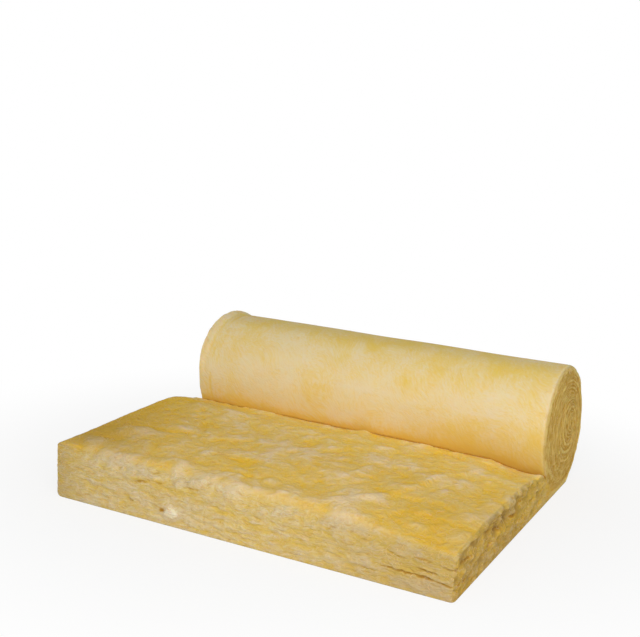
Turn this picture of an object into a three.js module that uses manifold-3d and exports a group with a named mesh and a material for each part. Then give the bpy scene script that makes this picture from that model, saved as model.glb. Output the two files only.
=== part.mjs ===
// A partly unrolled roll of unfaced glass wool, one continuous blanket. Its free end lies open on the
// floor and has recovered its loft; the rest is still wound up tight in a roll that has sagged under
// its own weight. Millimetres, +Z up. X runs along the roll, +Y from the free end to the roll.
// The origin is on the floor, at the centre of the outline seen from above.
import * as THREE from "three";
import { mergeVertices } from "three/addons/utils/BufferGeometryUtils.js";
import Module from "manifold-3d";

const { degToRad, lerp, smoothstep } = THREE.MathUtils;

// ---- driving dimensions ----------------------------------------------------------------------

const blanketWidth = 1200; // also the length of the roll
const openLength = 920; // free end to the middle of the roll
const loftLeft = 164; // recovered thickness along the left edge of the open part
const loftRight = 128; // the right edge has recovered less
const leftRise = 16; // the left edge stands this much higher near the roll than at the free end
const cornerDroop = 12; // the free corner on the right hangs lower by this much
const droopLength = 240; // the droop reaches this far back from the free end
const crestBack = 400; // the top starts to fall this far before the middle of the roll
const topRoundLeft = 14; // soft upper edge of the free end, at its left corner
const topRoundMiddle = 60; // away from the corners it is much softer
const topRoundRight = 38; // at its right corner
const topRoundFade = 130; // how far in from each corner it takes to get that soft
const edgeRound = 9; // soft edges along the two sides and round the roll's ends

const rollLongRadius = 226; // the sagged roll is an oval
const rollShortRadius = 195;
const rollTilt = degToRad(-27); // its long axis dips towards the back
const floorSag = 6.6; // how far the roll flattens where it lies on the floor
const lipHeight = 13; // the left rim has crept outwards in a narrow lip over the top of the roll
const lipWidth = 24;
const lipFade = 120; // it grows from the height of the roll's middle to this far above

const turns = 9; // laps wound in the roll
const outerLapSpread = 1.2; // the outer laps have kept more loft than the inner ones
const coreOffset = 95; // the winding's centre lies this far behind the oval's centre
const solidCoreTurns = 0.6; // the last part of the winding is pressed together
const seamWidth = 5; // groove between two laps where they come out at the roll's ends
const seamFloorWidth = 1;
const seamDepth = 12;
const meetingAngle = degToRad(232); // where the open blanket's top meets the roll
const rightGape = degToRad(10); // at the right end they meet this much further under the roll
const lapUnderAngle = degToRad(300); // where the blanket lies as one full lap under the roll

// Shares of the width, from the left.
const leftRiseEnds = 0.4;
const droopStarts = 0.7;
const gapeStarts = 0.83;
const gapeEnds = 0.98;

// Shares of the run-in, the stretch from the crest to where the blanket meets the roll.
const crestHold = 0.35; // the top stays near the crest's height up to here
const runInKnee = 0.6; // and is down to the knee's height here
const kneeHeight = 0.4; // as a share of the way back up to the crest
const swellsFadeFrom = 0.5;

// Main swells and hollows of the open top: x, y, half length, half width, turn in degrees, rise.
const swells = [
  [-512, -369, 55, 34, 20, 12],
  [-585, -250, 200, 30, 90, 2],
  [-350, -171, 55, 32, 30, -4],
  [-325, -468, 60, 30, 0, -5],
  [-480, -485, 70, 30, 0, 6],
  [-240, -505, 60, 30, 10, 8],
  [-110, -392, 45, 30, -25, -7],
  [-150, -330, 60, 32, 20, 5],
  [-90, -548, 90, 28, 8, 7],
  [90, -522, 110, 28, 10, 8],
  [260, -472, 70, 28, 25, 7],
  [-60, -190, 80, 40, 0, 4],
  [40, -130, 90, 34, -10, -4],
  [100, -400, 70, 36, 20, -6],
  [60, -300, 50, 32, 0, 5],
  [230, -120, 90, 32, 10, 4],
  [240, -250, 60, 34, 60, -4],
  [340, -235, 110, 28, 72, 5],
  [440, -330, 90, 34, 10, -6],
  [452, -432, 74, 58, -20, -5],
  [560, -339, 32, 28, 60, 6],
];

// ---- resolution ------------------------------------------------------------------------------

const widthSteps = 32;
const topSteps = 15;
const runInSteps = 9;
const roundSteps = 6;
const bevelSteps = 3;
const rollStep = degToRad(4.5);
const gapeSteps = 9;
const seamStep = degToRad(13);
const tangentStep = degToRad(1.5);
const finestDetail = 0.02;

// ---- the roll's section, in the Y-Z plane ------------------------------------------------------

const rollHalfHeight = Math.hypot(
  rollLongRadius * Math.sin(rollTilt),
  rollShortRadius * Math.cos(rollTilt),
);
const rollHalfDepth = Math.hypot(
  rollLongRadius * Math.cos(rollTilt),
  rollShortRadius * Math.sin(rollTilt),
);
const freeEndY = -(openLength + rollHalfDepth) / 2;
const crestY = freeEndY + openLength - crestBack;
const rollCentre = new THREE.Vector2(freeEndY + openLength, rollHalfHeight - floorSag);
const longAxis = new THREE.Vector2(Math.cos(rollTilt), Math.sin(rollTilt));
const shortAxis = new THREE.Vector2(-Math.sin(rollTilt), Math.cos(rollTilt));
const windingCentre = rollCentre.clone().add(new THREE.Vector2(coreOffset, 0));

// A point on the outside of the roll. The angle grows the way the blanket is wound: from the
// floor up the back, over the top and down the front.
function rollSurface(angle) {
  return rollCentre
    .clone()
    .addScaledVector(longAxis, rollLongRadius * Math.cos(angle))
    .addScaledVector(shortAxis, rollShortRadius * Math.sin(angle));
}

// The roll leaves the floor again, at its back, at this angle.
const topAngle = Math.atan2(
  rollShortRadius * Math.cos(rollTilt),
  rollLongRadius * Math.sin(rollTilt),
);
const liftAngle = topAngle - Math.acos(-rollCentre.y / rollHalfHeight);

// How much further round the roll the open blanket meets it, at a place along the roll.
function gape(x) {
  return rightGape * smoothstep(x / blanketWidth + 0.5, gapeStarts, gapeEnds);
}

// A point on the seam between two laps. It starts where the open blanket meets the roll, drops one
// lap's thickness until it is under the roll, and then winds inwards.
function seamPoint(x, angle) {
  const firstAngle = meetingAngle + gape(x);
  const runIn = (angle - firstAngle) / (lapUnderAngle - firstAngle);
  const laps = runIn < 1 ? runIn : 1 + (angle - lapUnderAngle) / (2 * Math.PI);
  return windingCentre.clone().lerp(rollSurface(angle), (1 - laps / turns) ** outerLapSpread);
}

// ---- the open part ---------------------------------------------------------------------------------

function swellAt(x, y) {
  let rise = 0;
  for (const [swellX, swellY, halfLength, halfWidth, turn, height] of swells) {
    const away = new THREE.Vector2(x - swellX, y - swellY);
    away.rotateAround(new THREE.Vector2(), -degToRad(turn));
    rise += height * Math.exp(-((away.x / halfLength) ** 2) - (away.y / halfWidth) ** 2);
  }
  return rise;
}

// Recovered thickness, without the swells.
function loftAt(x, y) {
  const across = x / blanketWidth + 0.5;
  const towardsRoll = smoothstep(y, freeEndY, crestY);
  const rise = leftRise * (towardsRoll - 0.5) * (1 - smoothstep(across, 0, leftRiseEnds));
  const nearEnd = 1 - smoothstep(y, freeEndY, freeEndY + droopLength);
  const droop = cornerDroop * nearEnd * smoothstep(across, droopStarts, 1);
  return lerp(loftLeft, loftRight, across) + rise - droop;
}

// Where the top falls from its crest and runs in under the roll.
function runInCurve(x) {
  const crest = new THREE.Vector2(crestY, loftAt(x, crestY));
  const meeting = rollSurface(meetingAngle + gape(x));
  return new THREE.CubicBezierCurve(
    crest,
    new THREE.Vector2(lerp(crestY, meeting.x, crestHold), crest.y),
    new THREE.Vector2(lerp(crestY, meeting.x, runInKnee), lerp(meeting.y, crest.y, kneeHeight)),
    meeting,
  );
}

// The top of the open part, from the front face to where it meets the roll.
function openTop(x) {
  const atCorner = lerp(topRoundLeft, topRoundRight, x / blanketWidth + 0.5);
  const fromCorner = blanketWidth / 2 - Math.abs(x);
  const topRound = lerp(atCorner, topRoundMiddle, smoothstep(fromCorner, 0, topRoundFade));
  const roundedY = freeEndY + topRound;
  const frontTop = loftAt(x, roundedY) + swellAt(x, roundedY);
  const points = [];
  for (let i = 0; i < roundSteps; i++) {
    const angle = (Math.PI / 2) * (i / roundSteps);
    const y = roundedY - topRound * Math.cos(angle);
    points.push(new THREE.Vector2(y, frontTop - topRound * (1 - Math.sin(angle))));
  }
  for (let i = 0; i < topSteps; i++) {
    const y = lerp(roundedY, crestY, i / topSteps);
    points.push(new THREE.Vector2(y, loftAt(x, y) + swellAt(x, y)));
  }
  const runIn = runInCurve(x);
  for (let i = 0; i <= runInSteps; i++) {
    const point = runIn.getPoint(i / runInSteps);
    point.y += swellAt(x, point.x) * (1 - smoothstep(i / runInSteps, swellsFadeFrom, 1));
    points.push(point);
  }
  return points;
}

// The outside of the roll, from where it meets the open part over its top and down to the floor.
function rollOutside(x) {
  const steps = Math.ceil((meetingAngle - liftAngle) / rollStep);
  const lip = lipHeight * Math.exp(-(((x + blanketWidth / 2) / lipWidth) ** 2));
  const points = [];
  for (let i = 1; i <= steps; i++) {
    const give = 1 - smoothstep(i, 0, gapeSteps);
    const point = rollSurface(lerp(meetingAngle, liftAngle, i / steps) + give * gape(x));
    const rising = smoothstep(point.y, rollCentre.y, rollCentre.y + lipFade);
    const outwards = point.clone().sub(windingCentre).normalize();
    points.push(point.addScaledVector(outwards, lip * rising));
  }
  return points;
}

// ---- solids --------------------------------------------------------------------------------------

// The blanket's outline at a place along X. inset draws it in from its skin, not from the floor.
function section({ x, inset }) {
  const points = [new THREE.Vector2(freeEndY, 0), ...openTop(x), ...rollOutside(x)];
  return points.map((point, i) => {
    const before = points[Math.max(i - 1, 0)];
    const after = points[Math.min(i + 1, points.length - 1)];
    const arriving = point.clone().sub(before).normalize();
    const leaving = after.clone().sub(point).normalize();
    const inwards = new THREE.Vector2(arriving.y + leaving.y, -arriving.x - leaving.x).normalize();
    const offFloor = smoothstep(point.y, 0, 2 * edgeRound);
    return point.clone().addScaledVector(inwards, inset * offFloor);
  });
}

// Where the sections stand: evenly spaced, and close together round the soft edges at both ends.
function stations() {
  const half = blanketWidth / 2;
  const rounded = [];
  for (let i = 0; i <= bevelSteps; i++) {
    const angle = (Math.PI / 2) * (i / bevelSteps);
    const x = half - edgeRound * (1 - Math.cos(angle));
    rounded.push({ x, inset: edgeRound * (1 - Math.sin(angle)) });
  }
  const left = rounded.map(({ x, inset }) => ({ x: -x, inset }));
  const even = [{ x: lipWidth - half, inset: 0 }];
  for (let i = 1; i < widthSteps; i++) {
    even.push({ x: lerp(-half, half, i / widthSteps), inset: 0 });
  }
  return [...left, ...even, ...rounded.reverse()];
}

// A closed skin over sections that all have the same number of points.
function lofted(places) {
  const sections = places.map(section);
  const count = sections[0].length;
  const points = sections.flatMap((outline, s) => outline.flatMap((p) => [places[s].x, p.x, p.y]));
  const faces = [];
  for (let s = 1; s < sections.length; s++) {
    for (let i = 0; i < count; i++) {
      const here = s * count + i;
      const next = s * count + ((i + 1) % count);
      faces.push(here - count, here, next, here - count, next, next - count);
    }
  }
  const last = (sections.length - 1) * count;
  for (const [a, b, c] of THREE.ShapeUtils.triangulateShape(sections[0], [])) {
    faces.push(a, c, b);
  }
  for (const [a, b, c] of THREE.ShapeUtils.triangulateShape(sections.at(-1), [])) {
    faces.push(last + a, last + b, last + c);
  }
  return new THREE.BufferGeometry()
    .setAttribute("position", new THREE.Float32BufferAttribute(points, 3))
    .setIndex(faces);
}

const wasm = await Module();
wasm.setup();

// A closed mesh as a manifold-3d solid, with its shared vertices merged.
function solidOf(geometry) {
  const bare = geometry.clone();
  bare.deleteAttribute("normal");
  bare.deleteAttribute("uv");
  const merged = mergeVertices(bare, 1e-4);
  return new wasm.Manifold(
    new wasm.Mesh({
      numProp: 3,
      vertProperties: new Float32Array(merged.attributes.position.array),
      triVerts: new Uint32Array(merged.index.array),
    }),
  );
}

function geometryOf(solid) {
  const mesh = solid.getMesh();
  return new THREE.BufferGeometry()
    .setAttribute("position", new THREE.BufferAttribute(mesh.vertProperties, 3))
    .setIndex(new THREE.BufferAttribute(mesh.triVerts, 1));
}

// Turns an extrusion of a Y-Z section so that its depth runs along X.
function alongWidth(geometry) {
  return geometry.applyMatrix4(
    new THREE.Matrix4().makeBasis(
      new THREE.Vector3(0, 1, 0),
      new THREE.Vector3(0, 0, 1),
      new THREE.Vector3(1, 0, 0),
    ),
  );
}

// The cutter for the seam on one end of the roll: a narrow ribbon along the winding, widening
// towards the end face. It starts just inside the meeting line and stops at the pressed core.
function seamCutter(side) {
  const x = (side * blanketWidth) / 2;
  const firstAngle = meetingAngle + gape(x) + seamStep / 2;
  const lastAngle = lapUnderAngle + (turns - 1 - solidCoreTurns) * 2 * Math.PI;
  const count = Math.ceil((lastAngle - firstAngle) / seamStep);
  const outer = [];
  const inner = [];
  for (let i = 0; i <= count; i++) {
    const angle = lerp(firstAngle, lastAngle, i / count);
    const ahead = seamPoint(x, angle + tangentStep);
    const along = ahead.sub(seamPoint(x, angle - tangentStep)).normalize();
    const outwards = new THREE.Vector2(along.y, -along.x).multiplyScalar(seamFloorWidth / 2);
    outer.push(seamPoint(x, angle).add(outwards));
    inner.unshift(seamPoint(x, angle).sub(outwards));
  }
  const geometry = alongWidth(
    new THREE.ExtrudeGeometry(new THREE.Shape([...outer, ...inner]), {
      steps: 1,
      depth: seamDepth,
      bevelThickness: seamDepth,
      bevelSize: (seamWidth - seamFloorWidth) / 2,
      bevelSegments: 1,
    }),
  );
  geometry.translate(side > 0 ? x : x - seamDepth, 0, 0);
  return solidOf(geometry);
}

function glassWoolBlanket() {
  let blanket = solidOf(lofted(stations()));
  for (const side of [-1, 1]) blanket = blanket.subtract(seamCutter(side));
  const geometry = geometryOf(blanket.simplify(finestDetail));
  geometry.computeBoundingBox();
  const { min, max } = geometry.boundingBox;
  geometry.translate(-(min.x + max.x) / 2, -(min.y + max.y) / 2, -min.z);
  const wool = new THREE.MeshStandardMaterial({
    color: 0xdcb96e,
    roughness: 0.95,
    metalness: 0,
  });
  const mesh = new THREE.Mesh(geometry, wool);
  mesh.name = "glass_wool_blanket";
  return mesh;
}

const insulationRoll = new THREE.Group();
insulationRoll.add(glassWoolBlanket());
export default insulationRoll;
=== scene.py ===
"""A partly unrolled roll of unfaced glass wool. One blanket: its free end lies open and fluffed up,
and the rest is still wound tight. Metres, in the frame's own axes: X along the roll, +Y from the
free end to the roll, +Z up."""

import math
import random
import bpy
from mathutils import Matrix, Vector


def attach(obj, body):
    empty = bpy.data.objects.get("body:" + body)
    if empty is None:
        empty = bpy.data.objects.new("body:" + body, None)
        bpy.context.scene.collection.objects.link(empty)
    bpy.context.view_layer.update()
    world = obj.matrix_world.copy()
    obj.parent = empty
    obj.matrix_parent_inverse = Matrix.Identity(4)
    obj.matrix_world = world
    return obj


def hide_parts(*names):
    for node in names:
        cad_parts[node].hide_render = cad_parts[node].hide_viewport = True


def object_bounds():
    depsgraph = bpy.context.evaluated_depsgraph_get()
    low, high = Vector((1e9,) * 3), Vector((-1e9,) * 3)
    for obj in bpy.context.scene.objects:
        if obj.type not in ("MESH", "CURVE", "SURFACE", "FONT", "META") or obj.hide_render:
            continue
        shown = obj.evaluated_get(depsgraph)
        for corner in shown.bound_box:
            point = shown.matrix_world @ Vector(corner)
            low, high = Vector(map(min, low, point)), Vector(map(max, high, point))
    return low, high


bl_info = {
    "name": "Glass-wool roll",
    "version": (1, 0, 0),
    "blender": (4, 5, 0),
    "location": "3D View > Sidebar > Insulation",
    "description": "Dresses the frame of a partly unrolled glass-wool blanket",
    "category": "Object",
}

import bmesh
import bpy
from bpy.props import FloatProperty, FloatVectorProperty, IntProperty, PointerProperty
from mathutils import Color, Matrix, Quaternion, Vector, noise
from mathutils.bvhtree import BVHTree

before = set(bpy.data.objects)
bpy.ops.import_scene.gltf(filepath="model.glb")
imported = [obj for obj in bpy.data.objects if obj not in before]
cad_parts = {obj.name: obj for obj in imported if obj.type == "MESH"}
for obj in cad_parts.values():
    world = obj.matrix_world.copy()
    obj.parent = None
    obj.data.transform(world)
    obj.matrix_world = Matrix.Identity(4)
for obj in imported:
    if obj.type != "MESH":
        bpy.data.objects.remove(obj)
FRAME_LOW, FRAME_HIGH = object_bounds()
MM = 0.001


# ---- small helpers ----------------------------------------------------------


def lerp(start, end, share):
    return start + (end - start) * share


def smooth(value, low, high):
    """0 below low, 1 above high, eased in between."""
    share = min(max((value - low) / (high - low), 0.0), 1.0)
    return share * share * (3 - 2 * share)


def bell(distance, width):
    """1 in the middle, falling off on both sides over about the given width."""
    return math.exp(-((distance / width) ** 2))


def blob(across, along):
    """1 in the middle of a round blob, falling off all round over a distance of about 1."""
    return bell(math.hypot(across, along), 1)


def wave(u, v, w):
    """Smooth noise, from -1 to 1."""
    return noise.noise(Vector((u, v, w)))


def billows(u, v, w):
    """Rounded lumps with creases between them, from about -0.5 in a crease to 1."""
    return 2.6 * abs(wave(u, v, w)) - 0.5


def rounded(first, second, radius):
    """Rounds the corner between two faces. Takes a point's distances from them, and gives those
    that it has once the corner is round, or None where it isn't near the corner."""
    to_first = max(0, 1 - first / radius)
    to_second = max(0, 1 - second / radius)
    if to_first <= 0 or to_second <= 0:
        return None
    return (
        radius * (1 - to_first * math.sqrt(1 - to_second * to_second / 2)),
        radius * (1 - to_second * math.sqrt(1 - to_first * to_first / 2)),
    )


def linear(hex_colour):
    """An sRGB hex colour as the linear RGBA that a shader socket takes."""
    channels = [int(hex_colour[i : i + 2], 16) / 255 for i in (1, 3, 5)]
    rgb = [c / 12.92 if c <= 0.04045 else ((c + 0.055) / 1.055) ** 2.4 for c in channels]
    return (*rgb, 1.0)


def length_property(name, description, metres):
    """A length that a user would change."""
    return FloatProperty(name=name, description=description, default=metres, unit="LENGTH")


def angle_property(name, description, degrees):
    """An angle that a user would change, given in degrees."""
    turn = math.radians(degrees)
    return FloatProperty(name=name, description=description, default=turn, unit="ROTATION")


def colour_property(name, description, hex_colour):
    """A colour that a user would change, given as sRGB hex."""
    return FloatVectorProperty(
        name=name,
        description=description,
        default=linear(hex_colour)[:3],
        size=3,
        min=0,
        max=1,
        subtype="COLOR",
    )


def placed(collection, name, data):
    """A new object in a collection that shows a mesh, a lamp or a camera."""
    thing = bpy.data.objects.new(name, data)
    collection.objects.link(thing)
    return thing


# ---- sizes and colours that a user would change -----------------------------


class BlanketSizes(bpy.types.PropertyGroup):
    """Sizes of the blanket and of the roll that is left of it."""

    width: length_property(
        "Width",
        "Width of the blanket, which is also the length of the roll",
        FRAME_HIGH.x - FRAME_LOW.x,
    )
    loft_left: length_property("Left loft", "Recovered thickness along the left edge", 0.164)
    loft_right: length_property("Right loft", "Recovered thickness along the right edge", 0.128)
    corner_droop: length_property(
        "Corner droop", "How much lower the free corner on the right hangs", 0.012
    )
    crest_back: length_property(
        "Crest distance",
        "Distance from where the top starts to fall to the middle of the roll",
        0.400,
    )
    left_rise: length_property(
        "Left rise",
        "How much higher the left edge stands near the roll than at the free end",
        0.016,
    )
    roll_long_radius: length_property("Long radius", "Longer half-axis of the sagged roll", 0.226)
    roll_short_radius: length_property(
        "Short radius", "Shorter half-axis of the sagged roll", 0.195
    )
    roll_tilt: angle_property("Roll tilt", "Dip of the roll's long axis towards the back", -27)
    floor_sag: length_property("Floor sag", "How far the roll flattens on the floor", 0.0066)
    core_offset: length_property(
        "Core offset", "How far the winding's centre lies behind the oval's centre", 0.095
    )
    laps: IntProperty(name="Laps", description="Laps wound in the roll", default=9)
    pinch_angle: angle_property("Pinch angle", "Where the open blanket's top meets the roll", 232)
    right_gape: angle_property(
        "Right gape", "How much further under the roll they meet at the right end", 10
    )
    under_angle: angle_property(
        "Under angle", "Where the blanket lies as one full lap under the roll", 300
    )


class WoolColours(bpy.types.PropertyGroup):
    """Colours of the wool, from bare binder to pale fibre ends, on each kind of surface."""

    bare: colour_property("Bare top", "Open top where the yellow binder shows", "#EEBE3E")
    straw: colour_property("Top", "Open top between hollows and tufts", "#E7C268")
    dust: colour_property("Dusty top", "Fibre ends on the open top", "#EACE9C")
    bed: colour_property("Cut face", "Sawn sides where the binder shows", "#E0C062")
    bed_dust: colour_property("Dusty cut face", "Fibre ends on the sawn sides", "#DDC89C")
    # the slab side's colours are partly the side's own and partly painted shade: darker than the
    # cut face's, on the faces turned sideways from the softbox
    fluff: colour_property("Tufts", "Loose tufts on the sawn sides", "#F3E6C6")
    side: colour_property("Slab side", "Torn side where the binder shows", "#DFB443")
    side_dust: colour_property("Dusty slab side", "Fibre ends on the torn side", "#CBAA66")
    end: colour_property("Roll end", "Wound turns on the roll's ends", "#D2A040")
    end_dust: colour_property("Dusty roll end", "Fibre ends on the roll's ends", "#F2D37A")
    skin: colour_property("Skin", "Pressed underside where the binder shows", "#F2CF64")
    skin_dust: colour_property("Pale skin", "Pressed underside elsewhere", "#F2E0B8")
    # painted shade: the tick colour darkens fine splits and the gaps where strands part
    tick: colour_property("Fine splits", "Small splits in the cut faces", "#C08C36")
    # painted shade: the deep colour darkens the wool in and beside the splits
    deep: colour_property("Deep splits", "The bottom of deep splits", "#BC8A2C")
    # painted shade: the meeting colour darkens the line where the roll begins
    meeting: colour_property("Meeting line", "The shaded line where the roll begins", "#C47E0E")
    # painted shade: the lap colour darkens the crease where two laps meet
    lap: colour_property("Lap edges", "Where two laps meet on the roll's ends", "#B67F2E")
    # painted shade: this brown is partly wear by dust and the saw and partly painted shade
    wear_and_shade: colour_property("Worn", "Wool browned by dust and by the saw", "#9E7E44")
    # painted light: the nip colour is added near the meeting line as painted bounce light
    glow: colour_property("Nip", "Where the roll and the open part light each other", "#70600F")


# ---- the blanket's section --------------------------------------------------


class Section:
    """Where each point of the blanket lies. A point is named by its place across the width (x), its
    row along the blanket and its share of the thickness, 0 on the underside and 1 on the top."""

    # rows along the open part, down to the roll and round it, and layers through the blanket
    FLAT_ROWS = 92
    RUN_IN_ROWS = 38
    ROWS_PER_TURN = 96
    CLOSER_ROWS = 0.6
    OPEN_LAYERS = 48
    WOUND_LAYERS = 8
    # rounding of the free end's upper edge: at the left and the right corner, and between them
    TOP_ROUND = (8 * MM, 38 * MM)
    CREST_ROUND = 60 * MM
    CREST_FADE = 130 * MM
    # the run-in to the roll is one curve: how far along it its four control points lie, and how
    # high the third one stands between the meeting line and the crest
    RUN_IN_ACROSS = (0, 0.35, 0.6, 1)
    RUN_IN_HEIGHT = 0.4
    # shares of the width: how far in the left rise reaches, where the droop of the right corner
    # begins and is full, and how far behind the free end it reaches
    LEFT_REACH = 0.4
    DROOP_REACH = (0.7, 1)
    DROOP_DEPTH = 0.2
    # laps get thinner towards the core, which is closed inside this share of the roll's size
    LAP_SPREAD = 1.2
    CORE_CLOSED = 0.006
    # the meeting line gapes between these shares of the width, right of the middle, and wavers
    GAPE_SHARES = (0.33, 0.48)
    WAVES = math.radians(2.4)
    # the raised rim of the last lap on the left
    LIP_HEIGHT = 13 * MM
    LIP_WIDTH = 14 * MM
    LIP_FADE = 120 * MM

    def __init__(self, sizes):
        self.sizes = sizes
        cos_tilt, sin_tilt = math.cos(sizes.roll_tilt), math.sin(sizes.roll_tilt)
        long_radius, short_radius = sizes.roll_long_radius, sizes.roll_short_radius
        half_height = math.hypot(long_radius * sin_tilt, short_radius * cos_tilt)
        half_depth = math.hypot(long_radius * cos_tilt, short_radius * sin_tilt)
        self.long_axis = Vector((cos_tilt, sin_tilt))
        self.short_axis = Vector((-sin_tilt, cos_tilt))
        self.roll_centre = Vector((FRAME_HIGH.y - half_depth, half_height - sizes.floor_sag))
        self.winding_centre = self.roll_centre + Vector((sizes.core_offset, 0))
        self.front = FRAME_LOW.y
        self.crest = self.roll_centre.x - sizes.crest_back
        self.mean_pinch = self.roll_surface(sizes.pinch_angle)
        top_angle = math.atan2(short_radius * cos_tilt, long_radius * sin_tilt)
        lift_angle = top_angle + math.tau - math.acos(-self.roll_centre.y / half_height)
        self.lift_row = self.row_at(lift_angle)
        self.open_rows = self.FLAT_ROWS + self.RUN_IN_ROWS
        self.wound_rows = self.row_at(sizes.under_angle + sizes.laps * math.tau)
        self.run_lengths = self.measure_run()

    def roll_surface(self, angle):
        """A point on the outside of the roll; the angle grows the way the blanket is wound."""
        return (
            self.roll_centre
            + self.sizes.roll_long_radius * math.cos(angle) * self.long_axis
            + self.sizes.roll_short_radius * math.sin(angle) * self.short_axis
        )

    def seam(self, x, angle):
        """A point on the seam between two laps, which is the top face of the wound blanket."""
        sizes = self.sizes
        start = self.angle(x, 0)
        run_in = (angle - start) / (sizes.under_angle - start)
        wound = run_in if run_in < 1 else 1 + (angle - sizes.under_angle) / math.tau
        share = (1 - min(wound / sizes.laps, 1)) ** self.LAP_SPREAD
        if share < self.CORE_CLOSED:
            share = 0
        return self.winding_centre.lerp(self.roll_surface(angle), share)

    def gape(self, x):
        """How much further round the roll the open blanket meets it, at a place along the roll."""
        waves = self.WAVES * (wave(x * 7, 0.5, 8.1) + 0.4 * wave(x * 30, 0.5, 8.1))
        return waves + self.sizes.right_gape * smooth(x / self.sizes.width, *self.GAPE_SHARES)

    def pinch(self, x):
        """Where the open blanket's top meets the roll."""
        return self.roll_surface(self.sizes.pinch_angle + self.gape(x))

    def row_angle(self, row):
        """Winding angle of a row. Rows lie closer together where the roll meets the open part."""
        turned = row * math.tau / self.ROWS_PER_TURN
        return self.sizes.pinch_angle + turned - self.CLOSER_ROWS * math.sin(turned)

    def row_at(self, angle):
        """The first row at or past a winding angle."""
        row = 0
        while self.row_angle(row) < angle:
            row += 1
        return row

    def angle(self, x, row):
        """The winding angle at a place. Rows near the meeting line give way to it."""
        turn = self.ROWS_PER_TURN
        to_line = min(row % turn, -row % turn)
        give = 1 - smooth(to_line, 0, turn / 5)
        return self.row_angle(row) + give * self.gape(x)

    def from_meeting(self, place):
        """Distance from the line where the open part and the roll meet, or 1 m behind the roll."""
        if place.y > self.roll_centre.x:
            return 1.0
        meeting = self.pinch(place.x)
        return math.hypot(place.y - meeting.x, place.z - meeting.y)

    def wound_point(self, x, row, share):
        """A point of the wound part, at a row from the pinch and a share of the lap's thickness."""
        sizes = self.sizes
        angle = self.angle(x, row)
        if angle < sizes.under_angle:
            start = self.angle(x, 0)
            along = (angle - start) / (sizes.under_angle - start)
            under = Vector(
                (lerp(self.pinch(x).x, self.roll_surface(sizes.under_angle).x, along), 0)
            )
        elif row <= self.ROWS_PER_TURN:
            under = self.roll_surface(angle)
            under.y = max(under.y, 0)
        else:
            under = self.seam(x, angle - math.tau)
        if row <= self.lift_row:
            under.y = 0
        return under.lerp(self.seam(x, angle), share)

    def open_point(self, x, row, layer):
        """A point of the open part, before its edges are softened."""
        pinch = self.pinch(x)
        if row <= self.FLAT_ROWS:
            y = lerp(self.front, self.crest, row / self.FLAT_ROWS)
            top = self.loft_at(x, y)
        else:
            run = (row - self.FLAT_ROWS) / self.RUN_IN_ROWS
            rest = 1 - run
            crest = self.loft_at(x, self.crest)
            weights = (rest**3, 3 * run * rest**2, 3 * run**2 * rest, run**3)
            heights = (crest, crest, lerp(pinch.y, crest, self.RUN_IN_HEIGHT), pinch.y)
            across = sum(weight * part for weight, part in zip(weights, self.RUN_IN_ACROSS))
            y = lerp(self.crest, pinch.x, across)
            top = sum(weight * height for weight, height in zip(weights, heights))
        share = layer / self.OPEN_LAYERS
        rounding = lerp(*self.TOP_ROUND, x / self.sizes.width + 0.5)
        from_end = self.sizes.width / 2 - abs(x)
        rounding = lerp(rounding, self.CREST_ROUND, smooth(from_end, 0, self.CREST_FADE))
        below_top = top * (1 - share)
        corner = rounded(y - self.front, below_top, rounding)
        if corner:
            from_front, below_top = corner
            y = self.front + from_front
        return Vector((y, top - below_top))

    def loft_at(self, x, y):
        """Recovered thickness at a place on the open part."""
        sizes = self.sizes
        across = x / sizes.width + 0.5
        edge = lerp(sizes.loft_left, sizes.loft_right, across)
        towards_roll = smooth(y, self.front, self.crest)
        edge += sizes.left_rise * (towards_roll - 0.5) * (1 - smooth(across, 0, self.LEFT_REACH))
        near_end = 1 - smooth(y, self.front, self.front + sizes.width * self.DROOP_DEPTH)
        return edge - sizes.corner_droop * near_end * smooth(across, *self.DROOP_REACH)

    def with_lip(self, x, point, share):
        """The left rim has crept outwards at the top, where nothing holds the last lap down."""
        from_left = x + self.sizes.width / 2
        rising = smooth(point.y, self.roll_centre.y, self.roll_centre.y + self.LIP_FADE)
        lip = self.LIP_HEIGHT * rising * (1 - share) * bell(from_left, self.LIP_WIDTH)
        return point + (point - self.winding_centre).normalized() * lip

    def measure_run(self):
        """Length of blanket from the free end to each wound row."""
        run = self.mean_pinch.x - self.front
        lengths = [run]
        middle = self.wound_point(0, 0, 0.5)
        for row in range(1, self.wound_rows + 1):
            ahead = self.wound_point(0, row, 0.5)
            run += (ahead - middle).length
            lengths.append(run)
            middle = ahead
        return lengths


# ---- the blanket's mesh -----------------------------------------------------


# What the material reads at each point: whether it is wound, and whether it is cut, how much of it
# is a split, which it darkens with painted shade, how pale it is, whether it faces sideways, how
# far it is from the meeting line, how near it is to a seam between laps, and how much browner it
# is, which is partly wear and partly painted shade.
STORED = ("wound", "cut", "split", "tone", "side", "nip", "seam", "wear_and_shade")


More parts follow.
